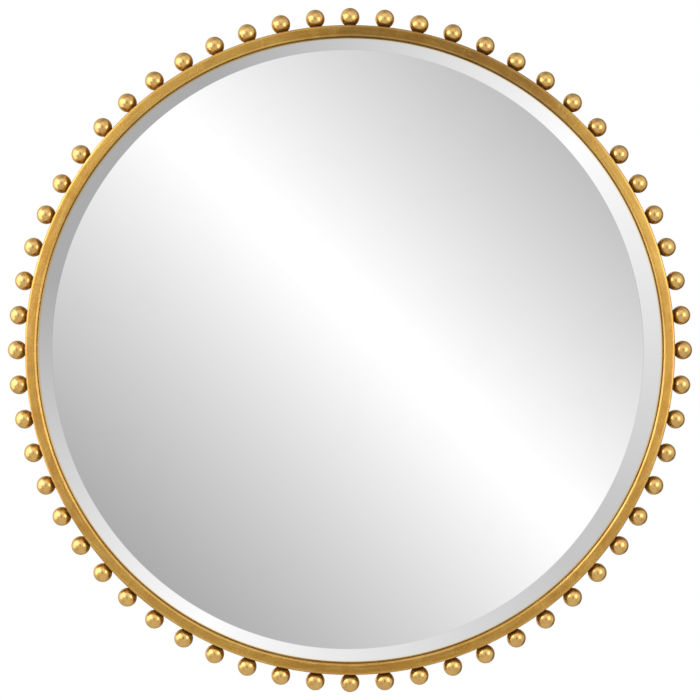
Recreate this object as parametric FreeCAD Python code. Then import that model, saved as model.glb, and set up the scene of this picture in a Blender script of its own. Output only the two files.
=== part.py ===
"""Round wall mirror: a rolled tube ring studded with welded balls around a bevelled glass.

Millimetres. +X is right and +Z is up for someone who looks into the mirror, which faces -Y.
The origin is the centre of the ring's back face, in the plane of the wall.
"""
import FreeCAD, Part
import math
import os

Vector = FreeCAD.Vector
ORIGIN = Vector(0, 0, 0)
X_AXIS = Vector(1, 0, 0)
Y_AXIS = Vector(0, 1, 0)
Z_AXIS = Vector(0, 0, 1)
FULL_TURN = 360.0
HALF_TURN = 180.0
QUARTER_TURN = 90.0

# Overall
overall_diameter = 914.4
overrun = 5.0

# Balls around the rim
ball_diameter = 25.4
ball_seat_depth = 1.0
ball_foot_diameter = 16.0
ball_foot_top_diameter = 14.0
ball_hours = 12
balls_per_hour = 5

# Ring, a rectangular tube
ring_width = 15.0
ring_depth = 30.0
ring_wall = 1.2
ring_corner_radius = 2.8
ring_bore_corner_radius = 1.6

# Bevelled glass
glass_recess = 5.5
glass_thickness = 5.0
glass_gap = 0.5
glass_arris = 0.4
bevel_width = 20.0
bevel_depth = 2.5

# Tape between the glass and its board
tape_thickness = 1.5
tape_width = 25.0
tape_pitch = 150.0
tape_edge_margin = 40.0

# Backing board
board_thickness = 6.0
board_gap = 1.3
board_edge_radius = 1.5

# Tabs welded inside the ring
tab_count = 8
tab_length = 32.0
tab_width = 22.0
tab_thickness = 2.0
tab_corner_radius = 6.0
tab_hole_inset = 11.0
tab_turn_share = 0.5

# Pan-head screws
screw_diameter = 3.8
screw_bite = 5.0
screw_tip_length = 1.6
screw_head_diameter = 7.6
screw_head_height = 2.2
screw_head_rim = 0.8
screw_hole_clearance = 0.3
pilot_clearance = 0.05
pilot_overdrill = 0.5
drive_slot_length = 4.2
drive_slot_width = 0.9
drive_slot_depth = 1.1
screw_tip_share = 0.35

# Swinging D-rings
loop_wire_diameter = 3.2
loop_corner_radius = 4.0
loop_eye_clearance = 0.1
loop_side_clearance = 0.8
loop_rest_clearance = 0.4

# Folded straps that carry the D-rings
hanger_spacing = 406.4
hanger_height = 250.0
strap_width = 12.0
strap_thickness = 1.2
strap_leaf_gap = 0.2
strap_bend_radius = 2.0
strap_ramp_degrees = 45.0
strap_screw_count = 2
strap_screw_pitch = 14.0
strap_screw_reach = 2.0
strap_tail = 8.0
strap_tail_corner_radius = 4.0

# Radii that follow from the sizes above
ball_radius = ball_diameter / 2
ball_circle_radius = overall_diameter / 2 - ball_radius
ring_outer_radius = ball_circle_radius - ball_radius + ball_seat_depth
ring_inner_radius = ring_outer_radius - ring_width
glass_radius = ring_inner_radius - glass_gap
board_radius = ring_inner_radius - board_gap
tape_radius = glass_radius - tape_edge_margin
screw_radius = screw_diameter / 2
screw_head_radius = screw_head_diameter / 2
screw_hole_radius = screw_radius + screw_hole_clearance
pilot_radius = screw_radius + pilot_clearance
wire_radius = loop_wire_diameter / 2

# Depths that follow, from the front of the ring to the wall
ring_front = -ring_depth
ball_plane = -ring_depth / 2
glass_front = ring_front + glass_recess
glass_back = glass_front + glass_thickness
bevel_edge = glass_front + bevel_depth
tape_back = glass_back + tape_thickness
board_back = tape_back + board_thickness

# The strap's fold and the D-ring in it, as heights above the board and lengths below the eye
eye_bend_radius = wire_radius + loop_eye_clearance + strap_thickness / 2
eye_height = strap_thickness / 2 + eye_bend_radius
lower_leaf_middle = strap_thickness / 2
upper_leaf_middle = lower_leaf_middle + strap_thickness + strap_leaf_gap
strap_top = upper_leaf_middle + strap_thickness / 2
loop_half_bar = strap_width / 2 + loop_side_clearance
loop_bow_radius = loop_half_bar + loop_corner_radius
loop_height = loop_corner_radius + loop_bow_radius
loop_reach = loop_height + wire_radius
loop_rest_height = strap_top + wire_radius + loop_rest_clearance
loop_rest_degrees = math.degrees(math.asin((loop_rest_height - eye_height) / loop_height))
strap_first_screw = loop_reach + strap_screw_reach + screw_head_radius
strap_last_screw = strap_first_screw + (strap_screw_count - 1) * strap_screw_pitch
strap_length = strap_last_screw + strap_tail


def turned(shape, degrees):
    """A copy of a shape made at twelve o'clock, turned clockwise as seen from the front."""
    copy = shape.copy()
    copy.rotate(ORIGIN, Y_AXIS, degrees)
    return copy


def moved(shape, offset):
    """A copy of a shape, moved."""
    copy = shape.copy()
    copy.translate(offset)
    return copy


def rounded_rectangle(left, low, right, high, radius):
    """A closed wire in the XY plane with four round corners."""
    slant = radius * (1 - math.sqrt(0.5))
    corners = [
        (Vector(right - radius, low, 0), Vector(right - slant, low + slant, 0), Vector(right, low + radius, 0)),
        (Vector(right, high - radius, 0), Vector(right - slant, high - slant, 0), Vector(right - radius, high, 0)),
        (Vector(left + radius, high, 0), Vector(left + slant, high - slant, 0), Vector(left, high - radius, 0)),
        (Vector(left, low + radius, 0), Vector(left + slant, low + slant, 0), Vector(left + radius, low, 0)),
    ]
    edges = []
    for number, (start, middle, end) in enumerate(corners):
        following = corners[(number + 1) % len(corners)][0]
        edges.append(Part.Arc(start, middle, end).toShape())
        edges.append(Part.LineSegment(end, following).toShape())
    return Part.Wire(edges)


def lathed(points):
    """A solid turned about the Y axis from an outline of (radius, depth) points."""
    corners = [Vector(radius, depth, 0) for radius, depth in points]
    outline = Part.makePolygon(corners + corners[:1])
    return Part.Face(outline).revolve(ORIGIN, Y_AXIS, FULL_TURN)


def drill(radius, place, length):
    """A cutter along +Y that starts at a place."""
    return Part.makeCylinder(radius, length, place, Y_AXIS)


def make_frame_ring():
    """The rolled tube, hollow all the way round."""
    outside = Part.Face(
        rounded_rectangle(ring_inner_radius, ring_front, ring_outer_radius, 0, ring_corner_radius)
    )
    bore = Part.Face(
        rounded_rectangle(
            ring_inner_radius + ring_wall,
            ring_front + ring_wall,
            ring_outer_radius - ring_wall,
            -ring_wall,
            ring_bore_corner_radius,
        )
    )
    return outside.cut(bore).Faces[0].revolve(ORIGIN, Y_AXIS, FULL_TURN)


def make_ball():
    """The ball at twelve o'clock on its weld foot, with a seat cut to the ring's outer wall."""
    ball = Part.makeSphere(ball_radius, Vector(0, ball_plane, ball_circle_radius), Z_AXIS)
    foot_radius = ball_foot_diameter / 2
    foot_top_radius = ball_foot_top_diameter / 2
    foot_top = ball_circle_radius - math.sqrt(ball_radius ** 2 - foot_top_radius ** 2)
    wall = Vector(0, ball_plane, ring_outer_radius)
    foot = Part.makeCone(foot_radius, foot_top_radius, foot_top - ring_outer_radius, wall, Z_AXIS)
    root = Part.makeCylinder(foot_radius, overrun, wall, -Z_AXIS)
    ring_wall_cutter = drill(ring_outer_radius, Vector(0, ring_front, 0), ring_depth)
    return ball.fuse([foot, root]).cut(ring_wall_cutter)


def make_rim_balls(hour):
    """The five balls around one hour of a clock face."""
    hour_step = FULL_TURN / ball_hours
    ball_step = hour_step / balls_per_hour
    ball = make_ball()
    first = hour * hour_step - ball_step * (balls_per_hour - 1) / 2
    return Part.makeCompound([turned(ball, first + ball_step * number) for number in range(balls_per_hour)])


def make_mirror_glass():
    """The glass disc, flat in front up to its ground bevel."""
    return lathed([
        (0, glass_front),
        (glass_radius - bevel_width, glass_front),
        (glass_radius, bevel_edge),
        (glass_radius, glass_back - glass_arris),
        (glass_radius - glass_arris, glass_back),
        (0, glass_back),
    ])


def make_mounting_tape():
    """Upright strips of tape, each as long as the disc is there."""
    side_strips = int((tape_radius - tape_width) / tape_pitch)
    strips = []
    for number in range(-side_strips, side_strips + 1):
        middle = number * tape_pitch
        far_edge = abs(middle) + tape_width / 2
        half_length = math.sqrt(tape_radius ** 2 - far_edge ** 2)
        corner = Vector(middle - tape_width / 2, glass_back, -half_length)
        strips.append(Part.makeBox(tape_width, tape_thickness, 2 * half_length, corner))
    return Part.makeCompound(strips)


def tab_angles():
    """Evenly spread, with a gap between two tabs at twelve o'clock."""
    step = FULL_TURN / tab_count
    return [step * (number + tab_turn_share) for number in range(tab_count)]


def tab_screw_place():
    """Where the screw goes through the tab at twelve o'clock, on the board's back."""
    return Vector(0, board_back, ring_inner_radius - tab_length + tab_hole_inset)


def make_tab():
    """The tab at twelve o'clock: a plate with a round inner end, fitted to the ring's inner wall."""
    inner_end = ring_inner_radius - tab_length
    corner = Vector(-tab_width / 2, board_back, inner_end)
    plate = Part.makeBox(tab_width, tab_thickness, tab_length + overrun, corner)
    inner_edges = [
        edge for edge in plate.Edges
        if edge.BoundBox.ZMax < inner_end + overrun and edge.BoundBox.YLength > tab_thickness / 2
    ]
    plate = plate.makeFillet(tab_corner_radius, inner_edges)
    inside_ring = drill(ring_inner_radius, Vector(0, ring_front, 0), ring_depth)
    hole = drill(screw_hole_radius, tab_screw_place(), tab_thickness)
    return plate.common(inside_ring).cut(hole)


def strap_screw_places():
    """Where each hanger's screws enter the board's back."""
    places = []
    for side in (-1, 1):
        for number in range(strap_screw_count):
            below_eye = strap_first_screw + number * strap_screw_pitch
            places.append(Vector(side * hanger_spacing / 2, board_back, hanger_height - below_eye))
    return places


def make_screw(grip):
    """A pan-head screw at the origin, head towards +Y, that goes through a grip and bites into the board."""
    length = grip + screw_bite
    dome_middle_radius = screw_head_radius * math.sqrt(0.5)
    dome_rise = screw_head_height - screw_head_rim
    dome_middle_height = screw_head_rim + dome_rise * math.sqrt(0.5)
    corners = [
        Vector(0, screw_head_height, 0),
        Vector(0, -length, 0),
        Vector(screw_radius * screw_tip_share, -length, 0),
        Vector(screw_radius, screw_tip_length - length, 0),
        Vector(screw_radius, 0, 0),
        Vector(screw_head_radius, 0, 0),
        Vector(screw_head_radius, screw_head_rim, 0),
    ]
    dome_middle = Vector(dome_middle_radius, dome_middle_height, 0)
    edges = Part.makePolygon(corners).Edges
    edges.append(Part.Arc(corners[-1], dome_middle, corners[0]).toShape())
    screw = Part.Face(Part.Wire(edges)).revolve(ORIGIN, Y_AXIS, FULL_TURN)
    slot_floor = screw_head_height - drive_slot_depth
    slot = Part.makeBox(
        drive_slot_length,
        drive_slot_depth + overrun,
        drive_slot_width,
        Vector(-drive_slot_length / 2, slot_floor, -drive_slot_width / 2),
    )
    return screw.cut([slot, turned(slot, QUARTER_TURN)])


def make_tab_screws():
    """One screw in each tab."""
    screw = moved(make_screw(tab_thickness), tab_screw_place() + Vector(0, tab_thickness, 0))
    return Part.makeCompound([turned(screw, angle) for angle in tab_angles()])


def make_hanger_screws():
    """The screws through both leaves of the straps."""
    screw = make_screw(strap_top)
    head_seat = Vector(0, strap_top, 0)
    return Part.makeCompound([moved(screw, place + head_seat) for place in strap_screw_places()])


def make_backing_board():
    """The board, with its back edge eased and a pilot hole for every screw."""
    board = drill(board_radius, Vector(0, tape_back, 0), board_thickness)
    back_rim = [edge for edge in board.Edges if edge.BoundBox.YMin > tape_back + board_thickness / 2]
    board = board.makeFillet(board_edge_radius, back_rim)
    pilot_depth = screw_bite + pilot_overdrill
    pilot = drill(pilot_radius, Vector(0, -pilot_depth, 0), pilot_depth)
    tab_pilot = moved(pilot, tab_screw_place())
    pilots = [turned(tab_pilot, angle) for angle in tab_angles()]
    pilots += [moved(pilot, place) for place in strap_screw_places()]
    return board.cut(pilots)


def strap_path():
    """The middle line of the folded strip, seen from the side: up the board, round the eye and back."""
    ramp = math.radians(strap_ramp_degrees)
    bend_drop = strap_bend_radius * (1 - math.cos(ramp))
    eye_top_drop = eye_bend_radius * (1 - math.cos(ramp))
    fall = eye_height + eye_bend_radius - upper_leaf_middle
    ramp_length = (fall - bend_drop - eye_top_drop) / math.sin(ramp)
    ramp_start = Vector(0, eye_height + eye_bend_radius * math.cos(ramp), -eye_bend_radius * math.sin(ramp))
    ramp_end = ramp_start - Vector(0, math.sin(ramp), math.cos(ramp)) * ramp_length
    bend_end_z = ramp_end.z - strap_bend_radius * math.sin(ramp)
    half_bend = Vector(
        0,
        upper_leaf_middle + strap_bend_radius * (1 - math.cos(ramp / 2)),
        bend_end_z + strap_bend_radius * math.sin(ramp / 2),
    )
    bend_end = Vector(0, upper_leaf_middle, bend_end_z)
    lower_tail = Vector(0, lower_leaf_middle, -strap_length)
    lower_end = Vector(0, lower_leaf_middle, 0)
    eye_far_side = Vector(0, eye_height, eye_bend_radius)
    upper_tail = Vector(0, upper_leaf_middle, -strap_length)
    return Part.Wire([
        Part.LineSegment(lower_tail, lower_end).toShape(),
        Part.Arc(lower_end, eye_far_side, ramp_start).toShape(),
        Part.LineSegment(ramp_start, ramp_end).toShape(),
        Part.Arc(ramp_end, half_bend, bend_end).toShape(),
        Part.LineSegment(bend_end, upper_tail).toShape(),
    ])


def make_strap():
    """A folded strap with its eye's axis on the X axis through the board's back, below the eye."""
    section = Part.makePolygon([
        Vector(-strap_width / 2, 0, -strap_length),
        Vector(strap_width / 2, 0, -strap_length),
        Vector(strap_width / 2, strap_thickness, -strap_length),
        Vector(-strap_width / 2, strap_thickness, -strap_length),
        Vector(-strap_width / 2, 0, -strap_length),
    ])
    sweep = Part.BRepOffsetAPI.MakePipeShell(strap_path())
    sweep.setBiNormalMode(X_AXIS)
    sweep.add(section)
    sweep.build()
    sweep.makeSolid()
    strap = Part.Solid(sweep.shape())
    # The outline, drawn in the XY plane and tipped up, rounds the corners of both tails
    outline = rounded_rectangle(
        -strap_width / 2, -strap_length, strap_width / 2, strap_length, strap_tail_corner_radius
    )
    blank = Part.Face(outline).extrude(Z_AXIS * -(strap_length + overrun))
    blank.rotate(ORIGIN, X_AXIS, QUARTER_TURN)
    strap = strap.common(blank)
    holes = []
    for number in range(strap_screw_count):
        below_eye = strap_first_screw + number * strap_screw_pitch
        holes.append(drill(screw_hole_radius, Vector(0, -overrun, -below_eye), 2 * overrun + strap_top))
    return strap.cut(holes)


def make_loop():
    """A D-ring with its bar along X at the origin, hanging down and held off its strap."""
    def bent(start, tangent, centre, degrees):
        section = Part.Face(Part.Wire(Part.makeCircle(wire_radius, start, tangent)))
        return section.revolve(centre, Y_AXIS, degrees)

    bar = Part.makeCylinder(wire_radius, 2 * loop_half_bar, Vector(-loop_half_bar, 0, 0), X_AXIS)
    level = -loop_corner_radius
    right_corner = bent(
        Vector(loop_half_bar, 0, 0), X_AXIS, Vector(loop_half_bar, 0, level), QUARTER_TURN
    )
    bow = bent(Vector(loop_bow_radius, 0, level), Z_AXIS, Vector(0, 0, level), HALF_TURN)
    left_corner = bent(
        Vector(-loop_bow_radius, 0, level), Z_AXIS, Vector(-loop_half_bar, 0, level), QUARTER_TURN
    )
    loop = bar.fuse([right_corner, bow, left_corner]).removeSplitter().Solids[0]
    loop.rotate(ORIGIN, X_AXIS, loop_rest_degrees)
    return loop


def save(node, shape):
    """Writes one piece, or group of like pieces, under its own name."""
    shape.exportStep(os.path.join("parts", node + ".step"))
    volume = sum(solid.Volume for solid in shape.Solids)
    print(node, "solids", len(shape.Solids), "valid", shape.isValid(), "volume", round(volume, 1))


os.makedirs("parts", exist_ok=True)
save("frame_ring", make_frame_ring())
for hour in range(1, ball_hours + 1):
    save(f"rim_balls_{hour:02d}", make_rim_balls(hour))
save("mirror_glass", make_mirror_glass())
save("mounting_tape", make_mounting_tape())
save("backing_board", make_backing_board())
tab = make_tab()
for number, angle in enumerate(tab_angles(), start=1):
    save(f"retaining_tab_{number}", turned(tab, angle))
save("tab_screws", make_tab_screws())
strap = make_strap()
loop = make_loop()
for side, name in ((-1, "left"), (1, "right")):
    strap_place = Vector(side * hanger_spacing / 2, board_back, hanger_height)
    save(f"hanger_strap_{name}", moved(strap, strap_place))
    save(f"hanger_ring_{name}", moved(loop, strap_place + Vector(0, eye_height, 0)))
save("hanger_screws", make_hanger_screws())
print("eye axis at y", board_back + eye_height, "z", hanger_height, "ring rests at", loop_rest_degrees)
print("strap length", strap_length, "ring inner radius", ring_inner_radius, "outer", ring_outer_radius)
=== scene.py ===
# %% [markdown]
# # A round mirror in a gold ring studded with balls
#
# The solids of every piece are already made at their real size. This lesson dresses them.
# It models the ring, its sixty balls, the bevelled glass and the hardware on the back as
# finer meshes, gives every surface its finish, and lights the mirror as in a bright studio.
# The frame is loaded first, because each new piece takes its size and place from it.

# %% Load the frame
import math

import bmesh
import bpy
from mathutils import Matrix, Vector


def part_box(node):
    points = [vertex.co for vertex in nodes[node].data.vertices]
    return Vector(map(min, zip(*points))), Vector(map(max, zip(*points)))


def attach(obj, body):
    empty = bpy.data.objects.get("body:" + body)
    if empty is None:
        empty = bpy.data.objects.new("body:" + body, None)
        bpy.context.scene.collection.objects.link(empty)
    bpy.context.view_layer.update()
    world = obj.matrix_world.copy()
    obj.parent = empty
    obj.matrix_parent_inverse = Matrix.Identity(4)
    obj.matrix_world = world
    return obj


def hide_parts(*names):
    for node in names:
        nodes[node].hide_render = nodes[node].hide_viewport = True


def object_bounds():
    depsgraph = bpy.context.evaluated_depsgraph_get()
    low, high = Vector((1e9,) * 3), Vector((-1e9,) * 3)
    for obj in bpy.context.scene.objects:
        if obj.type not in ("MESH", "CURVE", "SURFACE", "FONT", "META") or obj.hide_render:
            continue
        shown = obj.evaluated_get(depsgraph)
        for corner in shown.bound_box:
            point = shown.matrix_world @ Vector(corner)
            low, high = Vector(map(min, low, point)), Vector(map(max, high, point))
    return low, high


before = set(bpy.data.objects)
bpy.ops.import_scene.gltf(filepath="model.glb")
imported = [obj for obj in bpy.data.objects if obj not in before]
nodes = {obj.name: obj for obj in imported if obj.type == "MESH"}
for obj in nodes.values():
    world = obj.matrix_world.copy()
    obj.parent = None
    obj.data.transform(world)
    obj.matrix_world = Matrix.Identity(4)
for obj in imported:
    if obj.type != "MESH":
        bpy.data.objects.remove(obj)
cad_low, cad_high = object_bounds()

# %% [markdown]
# ## Sizes
#
# The mirror faces -Y and its axis is the Y axis, so most sizes are distances from that axis
# or depths along it. Reading them from the solids' points keeps the looks and the solids in
# step: if the ring grows, the finer ring grows with it.

# %% Read the sizes
SAME_PLACE = 0.00002


def reach(node):
    """The least and the greatest distance of a node's points from the mirror's axis."""
    distances = [math.hypot(point.co.x, point.co.z) for point in nodes[node].data.vertices]
    return min(distances), max(distances)


ring_inner, ring_outer = reach("frame_ring")
ring_front, ring_back = (corner.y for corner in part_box("frame_ring"))
ball_plane = (ring_front + ring_back) / 2
ball_tip = cad_high.z
ball_front, ball_back = (corner.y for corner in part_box("rim_balls_12"))
ball_radius = (ball_back - ball_front) / 2
glass_front, glass_back = (corner.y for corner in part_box("mirror_glass"))
glass_radius = reach("mirror_glass")[1]
glass_points = [point.co for point in nodes["mirror_glass"].data.vertices]
flat_radius = max(math.hypot(p.x, p.z) for p in glass_points if p.y < glass_front + SAME_PLACE)
bevel_edge = min(p.y for p in glass_points if math.hypot(p.x, p.z) > glass_radius - SAME_PLACE)
print("ring", round(ring_inner, 4), "to", round(ring_outer, 4), "glass", round(glass_radius, 4),
      "flat up to", round(flat_radius, 4))

# %% [markdown]
# ## Modelling by hand, in code
#
# A piece starts as a primitive, is opened in edit mode, and is shaped there by the same
# operators that a modeller calls with the keyboard. An operator acts on whatever is selected,
# so two helpers keep that under control: one starts a piece with nothing else selected, and
# one selects points, edges or faces by where they are.

# %% Helpers for modelling
def begin(name, add_primitive, stretch=(1, 1, 1), **options):
    """Adds a primitive with nothing else selected, fixes its place and opens it in edit mode."""
    bpy.ops.object.select_all(action="DESELECT")
    add_primitive(**options)
    piece = bpy.context.object
    piece.name = name
    piece.data.name = name
    piece.scale = stretch
    bpy.ops.object.transform_apply(location=True, rotation=True, scale=True)
    bpy.ops.object.mode_set(mode="EDIT")
    return piece


def choose(kind, test):
    """Selects the points of the open piece that pass a test, or the edges or faces between them."""
    bpy.ops.mesh.select_mode(type=kind)
    bpy.ops.mesh.select_all(action="DESELECT")
    mesh = bmesh.from_edit_mesh(bpy.context.object.data)
    if kind == "VERT":
        chosen = [point for point in mesh.verts if test(point.co)]
    else:
        parts = mesh.edges if kind == "EDGE" else mesh.faces
        chosen = [part for part in parts if all(test(point.co) for point in part.verts)]
    for part in chosen:
        part.select_set(True)
    mesh.select_flush_mode()
    bmesh.update_edit_mesh(bpy.context.object.data)
    return len(chosen)


def weld():
    """Merges the points that lie on one another and turns all faces outwards."""
    bpy.ops.mesh.select_all(action="SELECT")
    bpy.ops.mesh.remove_doubles(threshold=SAME_PLACE / 10)
    bpy.ops.mesh.normals_make_consistent(inside=False)


def close(piece, smooth_degrees):
    """Leaves edit mode, with round stretches shaded smooth and sharper edges kept."""
    bpy.ops.object.mode_set(mode="OBJECT")
    bpy.ops.object.shade_smooth_by_angle(angle=math.radians(smooth_degrees))
    return piece


def apply_modifier(piece, modifier):
    """Makes a modifier's result the piece's own mesh."""
    bpy.ops.object.select_all(action="DESELECT")
    piece.select_set(True)
    bpy.context.view_layer.objects.active = piece
    bpy.ops.object.modifier_apply(modifier=modifier.name)


def hand_finish(piece, lump, depth):
    """Sinks a surface a little here and there, as one that was filed and leafed by hand."""
    texture = bpy.data.textures.new(piece.name, type="CLOUDS")
    texture.noise_scale = lump
    modifier = piece.modifiers.new("hand_finish", "DISPLACE")
    modifier.texture = texture
    modifier.texture_coords = "GLOBAL"
    modifier.strength = depth
    modifier.mid_level = 1.0
    apply_modifier(piece, modifier)


def dress(piece, body, slot, *replaced):
    """Puts a finished piece on its body, in place of the plain solids that it stands for."""
    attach(piece, body)
    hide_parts(*replaced)
    print(piece.name, "faces", len(piece.data.polygons), "replaces", len(replaced))


print("helpers for modelling ready")

# %% [markdown]
# ## The ring
#
# The real ring is a rectangular tube, rolled into a hoop. Its front shows a flat face between
# two softened corners. A torus would be round in section, and a bevelled cylinder would need
# its middle cut out. So the ring starts as its own section: a plane of the tube's width and
# depth, whose corners are bevelled round and which is then spun about the mirror's axis.
# A few cuts across the sides that show give the hand finish points to move.

# %% Model the ring
RING_CORNER = 0.0028
CORNER_SEGMENTS = 6
SIDE_CUTS = 4
RING_STEPS = 540
RING_LUMP = 0.045
RING_LUMP_DEPTH = 0.00022

section_middle = ((ring_inner + ring_outer) / 2, ball_plane, 0)
section_size = (ring_outer - ring_inner, ring_back - ring_front, 1)
ring = begin("gold_ring", bpy.ops.mesh.primitive_plane_add, section_size, size=1, location=section_middle)
bpy.ops.mesh.bevel(offset=RING_CORNER, segments=CORNER_SEGMENTS, affect="VERTICES")
sides = (
    lambda p: abs(p.y - ring_front) < SAME_PLACE,
    lambda p: abs(p.x - ring_outer) < SAME_PLACE,
    lambda p: abs(p.x - ring_inner) < SAME_PLACE,
)
for side in sides:
    choose("EDGE", side)
    bpy.ops.mesh.subdivide(number_cuts=SIDE_CUTS)
bpy.ops.mesh.select_all(action="SELECT")
bpy.ops.mesh.delete(type="ONLY_FACE")
bpy.ops.mesh.select_all(action="SELECT")
bpy.ops.mesh.spin(steps=RING_STEPS, angle=math.tau, center=(0, 0, 0), axis=(0, 1, 0))
weld()
close(ring, smooth_degrees=60)
hand_finish(ring, RING_LUMP, RING_LUMP_DEPTH)
dress(ring, "mirror", "gold_leaf", "frame_ring")

# %% [markdown]
# ## The balls
#
# Each ball is a steel ball welded to the ring's outer wall, and its weld shows as a low collar.
# A sphere primitive is the ball; a bisect takes off its underside, and the open edge is drawn
# out to the wall as the collar. Only the ball at twelve o'clock is modelled.

# %% Model one ball
FOOT_RADIUS = 0.008
FOOT_TOP_RADIUS = 0.007
FOOT_ROOT = 0.0003
FOOT_CREASE = 0.0004
CREASE_SEGMENTS = 2
BALL_SEGMENTS = 48
BALL_RINGS = 26

ball_middle = ball_tip - ball_radius
foot_top = ball_middle - math.sqrt(ball_radius ** 2 - FOOT_TOP_RADIUS ** 2)
ball = begin("gold_ball", bpy.ops.mesh.primitive_uv_sphere_add, segments=BALL_SEGMENTS,
             ring_count=BALL_RINGS, radius=ball_radius, location=(0, ball_plane, ball_middle))
bpy.ops.mesh.bisect(plane_co=(0, ball_plane, foot_top), plane_no=(0, 0, 1), clear_inner=True)
choose("EDGE", lambda p: abs(p.z - foot_top) < SAME_PLACE)
bpy.ops.mesh.extrude_edges_move(TRANSFORM_OT_translate={"value": (0, 0, ring_outer - foot_top)})
flare = FOOT_RADIUS / FOOT_TOP_RADIUS
bpy.ops.transform.resize(value=(flare, flare, 1), center_override=(0, ball_plane, ring_outer))
bpy.ops.mesh.extrude_edges_move(TRANSFORM_OT_translate={"value": (0, 0, -FOOT_ROOT)})
bpy.ops.mesh.edge_face_add()
choose("EDGE", lambda p: abs(p.z - foot_top) < SAME_PLACE)
bpy.ops.mesh.bevel(offset=FOOT_CREASE, segments=CREASE_SEGMENTS)
weld()
close(ball, smooth_degrees=50)
print("one ball has", len(ball.data.polygons), "faces")

# %% [markdown]
# The ring carries sixty balls. An array modifier could repeat the one that is modelled, but all
# would then have the same dents. So each copy gets a mesh of its own and is turned about the
# mirror's axis, and five are joined to a piece, as the solids are grouped. Only then is the
# surface sunk here and there. The dents depend on a point's place, so no two balls are alike.

# %% Copy the ball round the ring
HOURS = 12
BALLS_PER_HOUR = 5
BALL_LUMP = 0.009
BALL_LUMP_DEPTH = 0.0002

hour_step = math.tau / HOURS
ball_step = hour_step / BALLS_PER_HOUR


def turned_copy(pattern, name, angle):
    """A copy with its own mesh, turned clockwise about the mirror's axis as seen from the front."""
    copy = pattern.copy()
    copy.data = pattern.data.copy()
    copy.name = name
    copy.data.name = name
    copy.data.transform(Matrix.Rotation(angle, 4, "Y"))
    bpy.context.collection.objects.link(copy)
    return copy


def join(pieces, name):
    """Makes one piece of several."""
    bpy.ops.object.select_all(action="DESELECT")
    for piece in pieces:
        piece.select_set(True)
    bpy.context.view_layer.objects.active = pieces[0]
    bpy.ops.object.join()
    pieces[0].name = name
    pieces[0].data.name = name
    return pieces[0]


ball_groups = []
for hour in range(1, HOURS + 1):
    first = hour * hour_step - ball_step * (BALLS_PER_HOUR - 1) / 2
    copies = [turned_copy(ball, "ball", first + ball_step * number) for number in range(BALLS_PER_HOUR)]
    group = join(copies, f"gold_balls_{hour:02d}")
    hand_finish(group, BALL_LUMP, BALL_LUMP_DEPTH)
    dress(group, "mirror", "gold_leaf", f"rim_balls_{hour:02d}")
    ball_groups.append(group)
bpy.data.objects.remove(ball)

# %% [markdown]
# ## The glass
#
# A bevelled mirror is a flat disc whose edge is ground down at a shallow slope and polished.
# The slope reflects another part of the room than the flat does, and that is what makes the
# bevel show. So it is modelled and not painted: a filled circle is extruded to the thickness
# of the edge, its front is inset by the bevel's width and moved forward. The wheel took off
# more at the right than elsewhere, so the flat is also stretched and shifted a little. The line
# where flat and bevel meet gets a narrow polished facet, and the rims lose their sharp arris.

# %% Model the glass
GLASS_SIDES = 420
POLISHED_LINE = 0.0006
GLASS_ARRIS = 0.0003
FLAT_STRETCH = (0.992, 1, 1.005)
FLAT_SHIFT = (-0.0030, 0, 0.0007)

glass = begin("bevelled_glass", bpy.ops.mesh.primitive_circle_add, vertices=GLASS_SIDES, radius=glass_radius,
              fill_type="NGON", location=(0, glass_back, 0), rotation=(math.pi / 2, 0, 0))
bpy.ops.mesh.extrude_region_move(TRANSFORM_OT_translate={"value": (0, bevel_edge - glass_back, 0)})
choose("FACE", lambda p: abs(p.y - bevel_edge) < SAME_PLACE)
bpy.ops.mesh.inset(thickness=glass_radius - flat_radius)
choose("FACE", lambda p: math.hypot(p.x, p.z) < flat_radius + SAME_PLACE and p.y < bevel_edge + SAME_PLACE)
bpy.ops.transform.translate(value=(0, glass_front - bevel_edge, 0))
bpy.ops.transform.resize(value=FLAT_STRETCH, center_override=(0, glass_front, 0))
bpy.ops.transform.translate(value=FLAT_SHIFT)
choose("EDGE", lambda p: math.hypot(p.x, p.z) > glass_radius - SAME_PLACE and p.y < bevel_edge + SAME_PLACE)
bpy.ops.mesh.bevel(offset=GLASS_ARRIS, segments=1)
choose("EDGE", lambda p: math.hypot(p.x, p.z) > glass_radius - SAME_PLACE and p.y > glass_back - SAME_PLACE)
bpy.ops.mesh.bevel(offset=GLASS_ARRIS, segments=1)
choose("EDGE", lambda p: p.y < glass_front + SAME_PLACE)
bpy.ops.mesh.bevel(offset=POLISHED_LINE / 2, segments=1)
weld()
close(glass, smooth_degrees=2)
dress(glass, "mirror", "mirror", "mirror_glass")

# %% [markdown]
# ## Tabs and screws
#
# On the back, eight steel tabs are welded inside the ring and screwed to the board. A tab is
# a cube, flattened, with its two inner corners rounded by a wide bevel and all its edges eased
# by a narrow one. It is modelled at twelve o'clock and copied round, like the balls.

# %% Model the tabs
TAB_WIDTH = 0.022
TAB_LENGTH = 0.032
TAB_CORNER = 0.006
TAB_CORNER_SEGMENTS = 8
TAB_COUNT = 8
EDGE_EASE = 0.0002
EASE_SEGMENTS = 2
SHARP_DEGREES = 40

board_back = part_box("backing_board")[1].y
tab_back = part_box("retaining_tab_1")[1].y
tab_inner = ring_inner - TAB_LENGTH


def ease_edges(width):
    """Bevels every sharp edge of the open piece a little, so that it catches the light."""
    bpy.ops.mesh.select_mode(type="EDGE")
    bpy.ops.mesh.select_all(action="DESELECT")
    bpy.ops.mesh.edges_select_sharp(sharpness=math.radians(SHARP_DEGREES))
    bpy.ops.mesh.bevel(offset=width, segments=EASE_SEGMENTS)


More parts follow.
